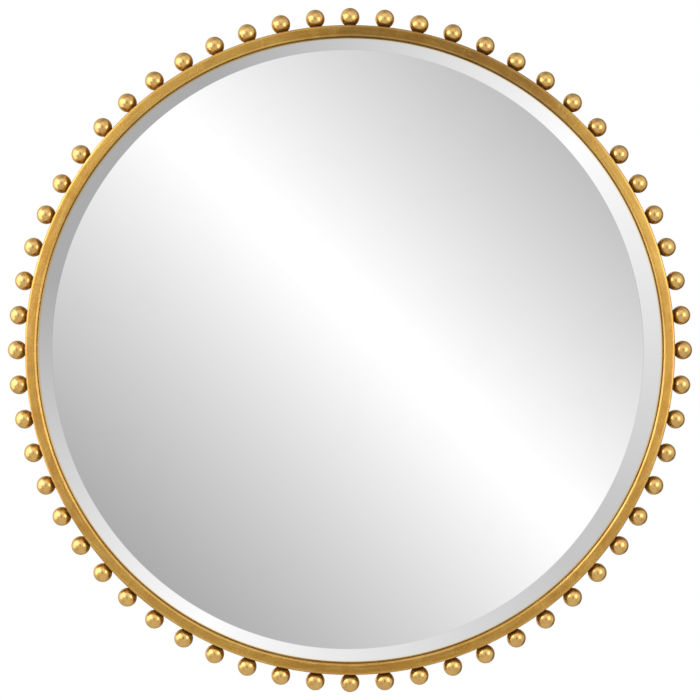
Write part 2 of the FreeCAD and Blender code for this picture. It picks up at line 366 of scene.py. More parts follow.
tab = begin("tab", bpy.ops.mesh.primitive_cube_add, (TAB_WIDTH, tab_back - board_back, TAB_LENGTH), size=1,
            location=(0, (board_back + tab_back) / 2, tab_inner + TAB_LENGTH / 2))
for side in (-1, 1):
    choose("EDGE", lambda p: p.x * side > 0 and p.z < tab_inner + SAME_PLACE)
    bpy.ops.mesh.bevel(offset=TAB_CORNER, segments=TAB_CORNER_SEGMENTS)
ease_edges(EDGE_EASE)
weld()
close(tab, smooth_degrees=40)
tab_angles = [math.tau * (number + 0.5) / TAB_COUNT for number in range(TAB_COUNT)]
tabs = []
for number, angle in enumerate(tab_angles, start=1):
    copy = turned_copy(tab, f"steel_tab_{number}", angle)
    dress(copy, "mirror", "tab_paint", f"retaining_tab_{number}")
    tabs.append(copy)
bpy.data.objects.remove(tab)

# %% [markdown]
# A pan-head screw shows only its head: a low rim with a dome on it and a cross slot. The head
# grows from a filled circle, which is extruded and drawn in step by step along a quarter of an
# ellipse. The slot is cut by two small boxes with a Boolean modifier.

# %% Model one screw head
HEAD_RADIUS = 0.0038
HEAD_SIDES = 40
HEAD_SMOOTH = 35
HEAD_RIM = 0.0008
HEAD_HEIGHT = 0.0022
DOME_STEPS = 7
DOME_TOP = 0.12
SLOT_SIZE = (0.0042, 0.0022, 0.0009)

screw = begin("screw", bpy.ops.mesh.primitive_circle_add, vertices=HEAD_SIDES, radius=HEAD_RADIUS,
              fill_type="NGON", rotation=(math.pi / 2, 0, 0))
bpy.ops.mesh.extrude_region_move(TRANSFORM_OT_translate={"value": (0, HEAD_RIM, 0)})
level, width = 0.0, 1.0
for step in range(1, DOME_STEPS + 1):
    next_width = 1 - (1 - DOME_TOP) * step / DOME_STEPS
    next_level = math.sqrt(1 - next_width ** 2)
    rise = (next_level - level) * (HEAD_HEIGHT - HEAD_RIM)
    bpy.ops.mesh.extrude_region_move(TRANSFORM_OT_translate={"value": (0, rise, 0)})
    bpy.ops.transform.resize(value=(next_width / width, 1, next_width / width), center_override=(0, 0, 0))
    level, width = next_level, next_width
weld()
close(screw, smooth_degrees=HEAD_SMOOTH)
for turn in (0, math.pi / 2):
    cutter = begin("slot", bpy.ops.mesh.primitive_cube_add, SLOT_SIZE, size=1, location=(0, HEAD_HEIGHT, 0))
    bpy.ops.transform.rotate(value=turn, orient_axis="Y", center_override=(0, HEAD_HEIGHT, 0))
    close(cutter, smooth_degrees=30)
    cut = screw.modifiers.new("slot", "BOOLEAN")
    cut.object = cutter
    cut.operation = "DIFFERENCE"
    apply_modifier(screw, cut)
    bpy.ops.object.shade_smooth_by_angle(angle=math.radians(HEAD_SMOOTH))
    bpy.data.objects.remove(cutter)
print("a screw head has", len(screw.data.polygons), "faces")

# %% [markdown]
# ## Hangers
#
# A hanger is a steel strip, folded back on itself round the bar of a D-ring. It is modelled as
# it is made: the strip's end is extruded up the board, spun round the eye, drawn down the ramp,
# bent flat again and drawn back to the tail. Lengths are measured from the eye's axis, and
# depths from the board.

# %% Model one strap
STRAP_WIDTH = 0.012
STRAP_THICKNESS = 0.0012
STRAP_GAP = 0.0002
STRAP_LENGTH = 0.0442
STRAP_TAIL_CORNER = 0.004
TAIL_SEGMENTS = 6
WIRE_RADIUS = 0.0016
EYE_CLEARANCE = 0.0001
EYE_RADIUS = WIRE_RADIUS + EYE_CLEARANCE + STRAP_THICKNESS / 2
BEND_RADIUS = 0.002
RAMP = math.radians(45)
SPIN_STEPS = 14

eye_height = STRAP_THICKNESS / 2 + EYE_RADIUS
upper_layer = STRAP_THICKNESS * 1.5 + STRAP_GAP
strap_top = upper_layer + STRAP_THICKNESS / 2
fall = eye_height + EYE_RADIUS - upper_layer
ramp_fall = fall - (BEND_RADIUS + EYE_RADIUS) * (1 - math.cos(RAMP))
ramp_run = ramp_fall / math.tan(RAMP)
bend_start = -EYE_RADIUS * math.sin(RAMP) - ramp_run
bend_end = bend_start - BEND_RADIUS * math.sin(RAMP)

strap = begin("strap", bpy.ops.mesh.primitive_plane_add, (STRAP_WIDTH, STRAP_THICKNESS, 1), size=1,
              location=(0, STRAP_THICKNESS / 2, -STRAP_LENGTH))
bpy.ops.mesh.extrude_region_move(TRANSFORM_OT_translate={"value": (0, 0, STRAP_LENGTH)})
bpy.ops.mesh.spin(steps=SPIN_STEPS, angle=math.pi + RAMP, center=(0, eye_height, 0), axis=(1, 0, 0))
bpy.ops.mesh.extrude_region_move(TRANSFORM_OT_translate={"value": (0, -ramp_fall, -ramp_run)})
bend_middle = (0, upper_layer + BEND_RADIUS, bend_end)
bpy.ops.mesh.spin(steps=SPIN_STEPS // 2, angle=-RAMP, center=bend_middle, axis=(1, 0, 0))
bpy.ops.mesh.extrude_region_move(TRANSFORM_OT_translate={"value": (0, 0, -STRAP_LENGTH - bend_end)})
for side in (-1, 1):
    for layer in (STRAP_THICKNESS / 2, upper_layer):
        choose("EDGE", lambda p: p.x * side > 0 and p.z < SAME_PLACE - STRAP_LENGTH and
               abs(p.y - layer) < STRAP_THICKNESS / 2 + SAME_PLACE)
        bpy.ops.mesh.bevel(offset=STRAP_TAIL_CORNER, segments=TAIL_SEGMENTS)
ease_edges(EDGE_EASE / 2)
weld()
close(strap, smooth_degrees=40)
print("strap", [round(v * 1000, 2) for v in strap.dimensions])

# %% [markdown]
# The D-ring is one piece of wire: a straight bar, a tight corner, a wide bow and a second
# corner. A circle of the wire's size is extruded along the bar and spun round each bend in
# turn, until it meets its own start. Then it is tilted about its bar, so that its bow hangs
# clear of the strap.

# %% Model one D-ring
HALF_BAR = 0.0068
LOOP_CORNER = 0.004
REST_CLEARANCE = 0.0004
WIRE_SIDES = 20
CORNER_STEPS = 10
BOW_STEPS = 28

bow_rise = strap_top + WIRE_RADIUS + REST_CLEARANCE - eye_height
bow_reach = HALF_BAR + 2 * LOOP_CORNER
loop_rest = math.asin(bow_rise / bow_reach)
bends = (
    (HALF_BAR, math.pi / 2, CORNER_STEPS),
    (0, math.pi, BOW_STEPS),
    (-HALF_BAR, math.pi / 2, CORNER_STEPS),
)

loop = begin("loop", bpy.ops.mesh.primitive_circle_add, vertices=WIRE_SIDES, radius=WIRE_RADIUS,
             location=(-HALF_BAR, 0, 0), rotation=(0, math.pi / 2, 0))
bpy.ops.mesh.extrude_edges_move(TRANSFORM_OT_translate={"value": (2 * HALF_BAR, 0, 0)})
for centre, angle, steps in bends:
    bpy.ops.mesh.spin(steps=steps, angle=-angle, center=(centre, 0, -LOOP_CORNER), axis=(0, 1, 0))
bpy.ops.mesh.select_all(action="SELECT")
bpy.ops.transform.rotate(value=-loop_rest, orient_axis="X", center_override=(0, 0, 0))
weld()
close(loop, smooth_degrees=60)
print("loop", [round(v * 1000, 2) for v in loop.dimensions])

# %% [markdown]
# Strap, D-ring and screw head were modelled at the origin, so copies of them now go to their
# places. Where the eyes are is read from the solids, and the rest follows from that. Straps
# and screws ride with the mirror. Each D-ring rides on a body of its own, so that it can swing.

# %% Put the hangers and screws in place
SCREWS_BELOW = (0.0222, 0.0362)
TAB_SCREW = 0.011

eye_side = sum(corner.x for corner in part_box("hanger_ring_right")) / 2
eye_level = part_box("hanger_strap_right")[0].z + STRAP_LENGTH


def moved_copy(pattern, name, offset):
    """A copy with its own mesh, moved."""
    copy = turned_copy(pattern, name, 0)
    copy.data.transform(Matrix.Translation(offset))
    return copy


hangers = []
strap_screws = []
for side, sign in (("left", -1), ("right", 1)):
    eye = Vector((sign * eye_side, board_back, eye_level))
    hangers.append(moved_copy(strap, f"steel_strap_{side}", eye))
    dress(hangers[-1], "mirror", "hanger_steel", f"hanger_strap_{side}")
    hangers.append(moved_copy(loop, f"steel_loop_{side}", eye + Vector((0, eye_height, 0))))
    dress(hangers[-1], f"{side}_loop", "hanger_steel", f"hanger_ring_{side}")
    for below in SCREWS_BELOW:
        strap_screws.append(moved_copy(screw, "screw", eye + Vector((0, strap_top, -below))))
tab_screw = moved_copy(screw, "screw", Vector((0, tab_back, tab_inner + TAB_SCREW)))
tab_screws = join([turned_copy(tab_screw, "screw", angle) for angle in tab_angles], "steel_tab_screws")
strap_screws = join(strap_screws, "steel_hanger_screws")
dress(tab_screws, "mirror", "screw_zinc", "tab_screws")
dress(strap_screws, "mirror", "screw_zinc", "hanger_screws")
for pattern in (strap, loop, screw, tab_screw):
    bpy.data.objects.remove(pattern)

# %% [markdown]
# ## Tools for finishes
#
# A finish is a small program of nodes. These helpers add a node, feed it numbers or other
# nodes' results, and hand back its output, so that a finish below reads as a list of steps.

# %% Helpers for nodes
def feed(tree, term, socket):
    """Gives a socket a number or colour, or wires another node's output to it."""
    if isinstance(term, bpy.types.NodeSocket):
        tree.links.new(term, socket)
    else:
        socket.default_value = term


def calc(tree, operation, first, second=0.0):
    """A Math node's result."""
    node = tree.nodes.new("ShaderNodeMath")
    node.operation = operation
    for term, socket in zip((first, second), node.inputs):
        feed(tree, term, socket)
    return node.outputs[0]


def hypotenuse(tree, first, second):
    """The distance that two steps at right angles make together."""
    squares = [calc(tree, "MULTIPLY", term, term) for term in (first, second)]
    return calc(tree, "SQRT", calc(tree, "ADD", *squares))


def between(tree, share, first, second):
    """A share of the way from one value to another."""
    return calc(tree, "ADD", first, calc(tree, "MULTIPLY", share, calc(tree, "SUBTRACT", second, first)))


def fade(tree, value, low, high, start=0.0, end=1.0):
    """A soft step from start to end, as a value goes from low to high."""
    node = tree.nodes.new("ShaderNodeMapRange")
    node.interpolation_type = "SMOOTHSTEP"
    terms = {"Value": value, "From Min": low, "From Max": high, "To Min": start, "To Max": end}
    for name, term in terms.items():
        feed(tree, term, node.inputs[name])
    return node.outputs["Result"]


def blend(tree, share, first, second):
    """A mix of two colours."""
    node = tree.nodes.new("ShaderNodeMix")
    node.data_type = "RGBA"
    for term, socket in ((share, node.inputs[0]), (first, node.inputs[6]), (second, node.inputs[7])):
        feed(tree, term, socket)
    return node.outputs[2]


print("helpers for nodes ready")

# %% [markdown]
# Two patterns are enough for all the finishes: soft noise for whatever drifts, and cells for
# whatever is laid in pieces or breaks along lines. Both are given a size in metres, because a
# texture's own scale says little about how large it comes out on the object.

# %% Helpers for patterns
def noise(tree, place, size, detail=3.0, roughness=0.55, warp=0.0):
    """Soft noise whose blotches are about a size across, in metres."""
    node = tree.nodes.new("ShaderNodeTexNoise")
    feed(tree, place, node.inputs["Vector"])
    terms = {"Scale": 1 / size, "Detail": detail, "Roughness": roughness, "Distortion": warp}
    for name, term in terms.items():
        node.inputs[name].default_value = term
    return node.outputs["Fac"]


def cells(tree, place, size, feature, in_line=False, randomness=1.0):
    """Cells about a size across, in metres, in space or along a line."""
    node = tree.nodes.new("ShaderNodeTexVoronoi")
    node.voronoi_dimensions = "1D" if in_line else "3D"
    node.feature = feature
    feed(tree, place, node.inputs["W" if in_line else "Vector"])
    node.inputs["Scale"].default_value = 1 / size
    node.inputs["Randomness"].default_value = randomness
    return node.outputs


print("helpers for patterns ready")

# %% [markdown]
# An effect that several finishes share is a node group, built once and placed in each of them.
# Every material reads Object coordinates, which are metres in the mirror's own frame, so that
# a pattern has its real size and stays on its piece when the piece moves.

# %% Helpers for materials
def new_group(name, *outputs):
    """A node group that works on a place, with its place and the sockets of its results."""
    tree = bpy.data.node_groups.new(name, "ShaderNodeTree")
    tree.interface.new_socket("Place", in_out="INPUT", socket_type="NodeSocketVector")
    for socket in outputs:
        kind = "NodeSocketColor" if socket == "Color" else "NodeSocketFloat"
        tree.interface.new_socket(socket, in_out="OUTPUT", socket_type=kind)
    entry = tree.nodes.new("NodeGroupInput")
    result = tree.nodes.new("NodeGroupOutput")
    return tree, entry.outputs["Place"], result.inputs


def place_group(tree, group, place):
    """The results of a group that is placed in a material."""
    node = tree.nodes.new("ShaderNodeGroup")
    node.node_tree = group
    tree.links.new(place, node.inputs["Place"])
    return node.outputs


def new_material(name):
    """A material with its node tree, its Principled shader and its Object coordinates."""
    material = bpy.data.materials.new(name)
    material.use_nodes = True
    tree = material.node_tree
    place = tree.nodes.new("ShaderNodeTexCoord").outputs["Object"]
    return material, tree, tree.nodes["Principled BSDF"], place


def bump(tree, shader, height, distance):
    """Feeds a height to the shader's normal; a height of 1 stands for a distance in metres."""
    node = tree.nodes.new("ShaderNodeBump")
    node.inputs["Distance"].default_value = distance
    feed(tree, height, node.inputs["Height"])
    tree.links.new(node.outputs["Normal"], shader.inputs["Normal"])


def paint(material, *pieces):
    """Gives pieces a material, alone in their slots."""
    for piece in pieces:
        piece.data.materials.clear()
        piece.data.materials.append(material)
    print(material.name, "is on", len(pieces), "pieces")


print("helpers for materials ready")

# %% [markdown]
# ## Gold leaf
#
# The finish is metal leaf laid by hand over steel and then antiqued. Seen close, its tone
# drifts from leaf to leaf and within each leaf, fine creases run through it, and small dark
# pits show where the leaf has broken. Ring and balls share that skin, so it is a node group
# that gives a colour, a gloss and a height.

# %% The leaf skin group
LEAF_PALE = (0.82, 0.57, 0.18, 1)
LEAF_MID = (0.66, 0.366, 0.064, 1)
LEAF_DEEP = (0.55, 0.276, 0.042, 1)
UMBER = (0.12, 0.050, 0.010, 1)
DRIFT_SIZE = 0.020
GRAIN_SIZE = 0.0030
CREASE_SIZE = 0.014
CREASE_WIDTH = 0.06
PATCH_SIZE = 0.035
PIT_SIZE = 0.0028
GRAIN_TONE = 0.08
CREASE_TONE = 0.25
PIT_TONE = 0.55
GRAIN_GLOSS = 0.02
PIT_GLOSS = 0.15
DRIFT_HEIGHT = 0.5
GRAIN_HEIGHT = 0.003
CREASE_DEPTH = 0.15
PIT_DEPTH = 0.2


def make_leaf_skin():
    """Leaf that drifts in tone, with creases and a few broken places."""
    tree, place, result = new_group("leaf_skin", "Color", "Gloss", "Height")
    drift = noise(tree, place, DRIFT_SIZE, 3.0, 0.5, 0.6)
    grain = noise(tree, place, GRAIN_SIZE, 2.0, 0.5)
    crease_edge = cells(tree, place, CREASE_SIZE, "DISTANCE_TO_EDGE")["Distance"]
    crease = fade(tree, crease_edge, 0.0, CREASE_WIDTH, 1.0, 0.0)
    crease = calc(tree, "MULTIPLY", crease, fade(tree, drift, 0.5, 0.7))
    patch = fade(tree, noise(tree, place, PATCH_SIZE, 1.0), 0.56, 0.64)
    pits = fade(tree, noise(tree, place, PIT_SIZE, 2.0, 0.5, 1.0), 0.62, 0.70)
    pits = calc(tree, "MULTIPLY", pits, patch)

    tone = blend(tree, fade(tree, drift, 0.32, 0.62), LEAF_DEEP, LEAF_MID)
    tone = blend(tree, fade(tree, grain, 0.45, 0.75, 0.0, GRAIN_TONE), tone, LEAF_PALE)
    tone = blend(tree, calc(tree, "MULTIPLY", crease, CREASE_TONE), tone, LEAF_DEEP)
    tone = blend(tree, calc(tree, "MULTIPLY", pits, PIT_TONE), tone, UMBER)
    tree.links.new(tone, result["Color"])

    gloss = fade(tree, grain, 0.3, 0.7, GRAIN_GLOSS, -GRAIN_GLOSS)
    gloss = calc(tree, "SUBTRACT", gloss, calc(tree, "MULTIPLY", pits, PIT_GLOSS))
    tree.links.new(gloss, result["Gloss"])

    height = calc(tree, "MULTIPLY", drift, DRIFT_HEIGHT)
    height = calc(tree, "SUBTRACT", height, calc(tree, "MULTIPLY", crease, CREASE_DEPTH))
    height = calc(tree, "ADD", height, calc(tree, "MULTIPLY", grain, GRAIN_HEIGHT))
    height = calc(tree, "SUBTRACT", height, calc(tree, "MULTIPLY", pits, PIT_DEPTH))
    tree.links.new(height, result["Height"])
    return tree


leaf_skin = make_leaf_skin()
print("leaf skin has", len(leaf_skin.nodes), "nodes")

# %% [markdown]
# Dirt stays where a cloth doesn't reach, and shade is painted there with it: round the balls' feet and down
# the ring's inner wall.
# The finishes of ring, balls and glass need to know how far a point is from the mirror's axis,
# at what angle round it and how deep, so these three measures are a group of their own.

# %% The polar measures group
def make_polar():
    """Distance from the mirror's axis, angle round it from twelve o'clock, and depth along it."""
    tree, place, result = new_group("polar", "Radius", "Angle", "Depth")
    parts = tree.nodes.new("ShaderNodeSeparateXYZ")
    tree.links.new(place, parts.inputs[0])
    across, depth, up = parts.outputs
    tree.links.new(hypotenuse(tree, across, up), result["Radius"])
    tree.links.new(calc(tree, "ARCTAN2", across, up), result["Angle"])
    tree.links.new(depth, result["Depth"])
    return tree


def stretch_mask(tree, angle, degrees, full, gone, strength):
    """A mask for one stretch of the hoop: at its strength near an angle, and gone further off."""
    apart = calc(tree, "ABSOLUTE", calc(tree, "SUBTRACT", angle, math.radians(degrees)))
    return fade(tree, apart, math.radians(full), math.radians(gone), strength, 0.0)


polar = make_polar()
print("polar measures have", len(polar.nodes), "nodes")

# %% [markdown]
# On the ring the leaf was laid square by square, so a faint step in tone and a fine joint cross
# it every few centimetres. Rubbing left pale streaks along the tube, and some stretches of the
# hoop came out fresher, or browner, than the rest. A stretch is an angle, how far it is full,
# where it is gone, its colour and its strength.

# %% The ring's squares and streaks
LEAF_FRESH = (0.82, 0.50, 0.11, 1)
LEAF_SQUARE = 0.085
LEAF_JOINT = 0.0006
SQUARE_SPREAD = 0.7
SQUARE_TONE = 0.5
JOINT_TONE = 0.45
STREAK_WIDTH = 0.0035
STREAK_STRETCH = 9
STREAK_TONE = 0.35
LEAF_STRETCHES = (
    (17, 12, 31, UMBER, 0.45),
    (62, 9, 22, LEAF_FRESH, 0.55),
    (-34, 14, 32, LEAF_FRESH, 0.40),
    (-152, 8, 24, LEAF_FRESH, 0.30),
)


def leaf_squares(tree, along):
    """A tone for each square of leaf along the hoop, and the joints between them."""
    squares = cells(tree, along, LEAF_SQUARE, "F1", True, SQUARE_SPREAD)
    edges = cells(tree, along, LEAF_SQUARE, "DISTANCE_TO_EDGE", True, SQUARE_SPREAD)
    tone = tree.nodes.new("ShaderNodeSeparateColor")
    tree.links.new(squares["Color"], tone.inputs[0])
    return tone.outputs[0], fade(tree, edges["Distance"], 0.0, LEAF_JOINT / LEAF_SQUARE, 1.0, 0.0)


def leaf_streaks(tree, along, where):
    """Noise drawn out along the hoop."""
    unrolled = tree.nodes.new("ShaderNodeCombineXYZ")
    terms = (calc(tree, "DIVIDE", along, STREAK_STRETCH), where["Radius"], where["Depth"])
    for term, socket in zip(terms, unrolled.inputs):
        tree.links.new(term, socket)
    return noise(tree, unrolled.outputs[0], STREAK_WIDTH, 2.0, 0.5)


def laid_leaf(tree, skin, where, along, patch, joint, square):
    """The colour of the leaf before it was worn and dirtied."""
    tone = blend(tree, fade(tree, square, 0.0, 1.0, 0.0, SQUARE_TONE), skin["Color"], LEAF_DEEP)
    streaks = fade(tree, leaf_streaks(tree, along, where), 0.45, 0.72, 0.0, STREAK_TONE)
    tone = blend(tree, streaks, tone, LEAF_PALE)
    uneven = fade(tree, patch, 0.3, 0.6, 0.75, 1.1)
    for degrees, full, gone, colour, strength in LEAF_STRETCHES:
        share = stretch_mask(tree, where["Angle"], degrees, full, gone, strength)
        tone = blend(tree, calc(tree, "MULTIPLY", share, uneven), tone, colour)
    dark_joint = calc(tree, "MULTIPLY", joint, fade(tree, patch, 0.45, 0.65, 0.0, JOINT_TONE))
    return blend(tree, dark_joint, tone, UMBER)


print("leaf squares on the hoop: about", round(math.tau * ring_outer / LEAF_SQUARE))

# %% [markdown]
# Handling has worn the ring's two front corners smoother, and they are painted paler, partly as
# wear and partly as a painted highlight. The inner wall takes olive dirt and painted shade, and
# the outer wall dark stains and painted shade, darkest round the welds. Each of these is a mask
# made from a point's distance, angle and depth.

# %% The ring's worn and highlighted corners, dirt and painted shade
WEAR_AND_HIGHLIGHT_REACH = 0.0021
WEAR_AND_HIGHLIGHT_FULL = 0.4
WEAR_AND_HIGHLIGHT_STRENGTH = (0.35, 0.8)
ON_WALL = (0.0003, 0.0012)
WALL_DIRT_AND_SHADE_START = 0.001
WALL_DIRT_AND_SHADE_REACH = 0.0060
WALL_DIRT_AND_SHADE = 0.4
WELD_STAIN_AND_SHADE = 0.0140
STAIN_AND_SHADE_STRENGTH = (0.85, 0.55)


def ring_masks(tree, where, along, patch):
    """Where the ring is worn and painted with a highlight, and where its inner and outer walls take dirt,
    stains and painted shade.
    """
    from_outer = calc(tree, "SUBTRACT", ring_outer, where["Radius"])
    from_inner = calc(tree, "SUBTRACT", where["Radius"], ring_inner)
    from_front = calc(tree, "SUBTRACT", where["Depth"], ring_front)
    corner = calc(tree, "ADD", calc(tree, "MINIMUM", from_outer, from_inner), from_front)
    wear_and_highlight = fade(tree, corner, WEAR_AND_HIGHLIGHT_REACH * WEAR_AND_HIGHLIGHT_FULL, WEAR_AND_HIGHLIGHT_REACH, 1.0, 0.0)
    wear_and_highlight = calc(tree, "MULTIPLY", wear_and_highlight, fade(tree, patch, 0.3, 0.6, *WEAR_AND_HIGHLIGHT_STRENGTH))

    # Painted shade with the dirt: the inner wall darkens deeper into the recess behind the front corner.
    wall_dirt_and_shade = fade(tree, from_front, WALL_DIRT_AND_SHADE_START, WALL_DIRT_AND_SHADE_REACH, 0.0, WALL_DIRT_AND_SHADE)
    wall_dirt_and_shade = calc(tree, "MULTIPLY", wall_dirt_and_shade, fade(tree, from_inner, *ON_WALL, 1.0, 0.0))

    # Painted shade with the stains: the outer wall darkens all over, and most round each ball's weld.
    around = calc(tree, "ADD", along, ring_outer * math.tau)
    from_ball = calc(tree, "PINGPONG", around, ball_step * ring_outer / 2)
    from_weld = hypotenuse(tree, from_ball, calc(tree, "SUBTRACT", where["Depth"], ball_plane))
    stain_and_shade = fade(tree, from_weld, FOOT_RADIUS, WELD_STAIN_AND_SHADE, *STAIN_AND_SHADE_STRENGTH)
    stain_and_shade = calc(tree, "MULTIPLY", stain_and_shade, fade(tree, from_outer, *ON_WALL, 1.0, 0.0))
    return wear_and_highlight, wall_dirt_and_shade, stain_and_shade


print("wear reaches", WEAR_AND_HIGHLIGHT_REACH * 1000, "mm from a corner")

# %% [markdown]
# The whole finish is that leaf, worn, dirtied, given painted shade and varnished. At the left the
# inner wall is painted paler, as painted light. The varnish is a thin clear coat, which makes highlights
# paler than the gold.
# Rubbing along the tube has left fine lengthwise scratches, which spread a highlight across
# them, so the shader is anisotropic, with its tangent along the hoop: the ring shines at left
# and right and stays darker above and below.

# %% The ring's leaf
LEAF_WORN_AND_LIT = (0.64, 0.44, 0.17, 1)
OLIVE_DIRT_AND_SHADE = (0.14, 0.105, 0.040, 1)
PAINTED_LIGHT_LEFT_WALL = (-90, 12, 42, 2.0)
RING_ROUGHNESS = 0.33
WEAR_POLISH = 0.20
DIRT_DULL = 0.15
JOINT_DEPTH = 0.1
SKIN_DEPTH = 0.0005
BRUSHING = 0.7
QUARTER_TURN = 0.25
RING_VARNISH = 0.25
VARNISH_INDEX = 2.0
VARNISH_ROUGHNESS = 0.18
GRAZING_TINT = (0.90, 0.72, 0.38, 1)


def varnish(shader, weight):
    """Metal under a thin clear coat."""
    shader.inputs["Metallic"].default_value = 1.0
    shader.inputs["Specular Tint"].default_value = GRAZING_TINT
    shader.inputs["Coat Weight"].default_value = weight
    shader.inputs["Coat IOR"].default_value = VARNISH_INDEX
    shader.inputs["Coat Roughness"].default_value = VARNISH_ROUGHNESS


def brush_lengthwise(tree, shader, place):
    """Fine scratches along the hoop."""
    lengthwise = tree.nodes.new("ShaderNodeVectorMath")
    lengthwise.operation = "CROSS_PRODUCT"
    tree.links.new(place, lengthwise.inputs[0])
    lengthwise.inputs[1].default_value = (0, 1, 0)
    tree.links.new(lengthwise.outputs[0], shader.inputs["Tangent"])
    shader.inputs["Anisotropic"].default_value = BRUSHING
    shader.inputs["Anisotropic Rotation"].default_value = QUARTER_TURN


def ring_leaf():
    """Leaf in squares, worn at the corners with a painted highlight, dirty and painted with shade inside the
    ring and round the welds, and painted paler on the inner wall at the left as painted light.
    """
    material, tree, shader, place = new_material("gold_leaf_ring")
    skin = place_group(tree, leaf_skin, place)
    where = place_group(tree, polar, place)
    along = calc(tree, "MULTIPLY", where["Angle"], ring_outer)
    patch = noise(tree, place, PATCH_SIZE, 2.0)
    square, joint = leaf_squares(tree, along)
    wear_and_highlight, wall_dirt_and_shade, stain_and_shade = ring_masks(tree, where, along, patch)

    tone = laid_leaf(tree, skin, where, along, patch, joint, square)
    # The front corners are painted paler, partly as wear and partly as a painted highlight.
    tone = blend(tree, wear_and_highlight, tone, LEAF_WORN_AND_LIT)
    # Dark stains and painted shade on the outer wall.
    tone = blend(tree, stain_and_shade, tone, UMBER)
    # Olive dirt and painted shade on the inner wall.
    tone = blend(tree, wall_dirt_and_shade, tone, OLIVE_DIRT_AND_SHADE)
    # Painted light: at the left the inner wall is painted paler, where light falls on it.
    wiped_and_lit = calc(tree, "MULTIPLY", wall_dirt_and_shade, stretch_mask(tree, where["Angle"], *PAINTED_LIGHT_LEFT_WALL))
    tree.links.new(blend(tree, wiped_and_lit, tone, LEAF_WORN_AND_LIT), shader.inputs["Base Color"])

    dirt_and_shade = calc(tree, "MAXIMUM", wall_dirt_and_shade, stain_and_shade)
    rough = calc(tree, "SUBTRACT", RING_ROUGHNESS, skin["Gloss"])
    rough = calc(tree, "SUBTRACT", rough, calc(tree, "MULTIPLY", wear_and_highlight, WEAR_POLISH))
    rough = calc(tree, "ADD", rough, calc(tree, "MULTIPLY", dirt_and_shade, DIRT_DULL))
    tree.links.new(rough, shader.inputs["Roughness"])
    height = calc(tree, "SUBTRACT", skin["Height"], calc(tree, "MULTIPLY", joint, JOINT_DEPTH))
    bump(tree, shader, height, SKIN_DEPTH)
    varnish(shader, RING_VARNISH)
    brush_lengthwise(tree, shader, place)
    return material


paint(ring_leaf(), ring)

# %% [markdown]
# A ball has no corners to wear. Its leaf is burnished smoother and paler than the ring's, under
# a thicker clear coat that whitens its highlights. Dirt and painted shade fill the crease of its
# weld and thin out towards its crown. At the left less of it is painted, as painted light.

# %% The balls' leaf
FOOT_DIRT_AND_SHADE = 0.88
FOOT_DIRT_AND_SHADE_REACH = (0.0008, 0.0050)
FOOT_DIRT_DULL = 0.25
FOOT_DIRT_AND_SHADE_LUMP = 0.005
FOOT_DIRT_AND_SHADE_WANDER = 0.004
PAINTED_LIGHT_LEFT_FEET = (-68, 30, 70, 0.45)
BALL_ROUGHNESS = 0.28
BALL_VARNISH = 0.55
BURNISH = 0.25


def ball_leaf():
    """Leaf that darkens towards the ring, with dirt and painted shade in the weld's crease, and less of it
    at the left.
    """
    material, tree, shader, place = new_material("gold_leaf_balls")
    skin = place_group(tree, leaf_skin, place)
    where = place_group(tree, polar, place)
    above_wall = calc(tree, "SUBTRACT", where["Radius"], ring_outer)
    uneven = calc(tree, "SUBTRACT", noise(tree, place, FOOT_DIRT_AND_SHADE_LUMP), 0.5)
    above_dirt_and_shade = calc(tree, "ADD", above_wall, calc(tree, "MULTIPLY", uneven, FOOT_DIRT_AND_SHADE_WANDER))
    # Painted shade with the dirt: the leaf darkens towards the weld's crease.
    dirt_and_shade = fade(tree, above_dirt_and_shade, *FOOT_DIRT_AND_SHADE_REACH, FOOT_DIRT_AND_SHADE, 0.0)
    # Painted light: at the left less of that darkening is painted, so those feet look lit.
    wiped_and_lit = stretch_mask(tree, where["Angle"], *PAINTED_LIGHT_LEFT_FEET)
    dirt_and_shade = calc(tree, "MULTIPLY", dirt_and_shade, calc(tree, "SUBTRACT", 1.0, wiped_and_lit))
    tone = blend(tree, BURNISH, skin["Color"], LEAF_PALE)
    tree.links.new(blend(tree, dirt_and_shade, tone, UMBER), shader.inputs["Base Color"])
    rough = calc(tree, "SUBTRACT", BALL_ROUGHNESS, skin["Gloss"])
    rough = calc(tree, "ADD", rough, calc(tree, "MULTIPLY", dirt_and_shade, FOOT_DIRT_DULL))
    tree.links.new(rough, shader.inputs["Roughness"])
    bump(tree, shader, skin["Height"], SKIN_DEPTH)
    varnish(shader, BALL_VARNISH)
    return material


paint(ball_leaf(), *ball_groups)

# %% [markdown]
# ## Silvered glass
#
# A clean mirror is all reflection, so its finish is a smooth metal. What gives it away as glass
# is a faint drift in tone where it was wiped, a painted reflection of the gold along its rim,
# painted into the silver as a warm colour, and its ground edge, which is pale green and dull.

# %% The mirror's finish
SILVER = (0.975, 0.978, 0.975, 1)
SILVER_WIPED = (0.965, 0.969, 0.968, 1)
WIPE_SIZE = 0.12
GROUND_EDGE = (0.46, 0.60, 0.54, 1)
EDGE_ROUGHNESS = 0.35
PAINTED_GOLD_REFLECTION = (0.93, 0.80, 0.54, 1)
GOLD_REFLECTION_STRENGTH = 0.9
GOLD_REFLECTION_REACH = 0.0042


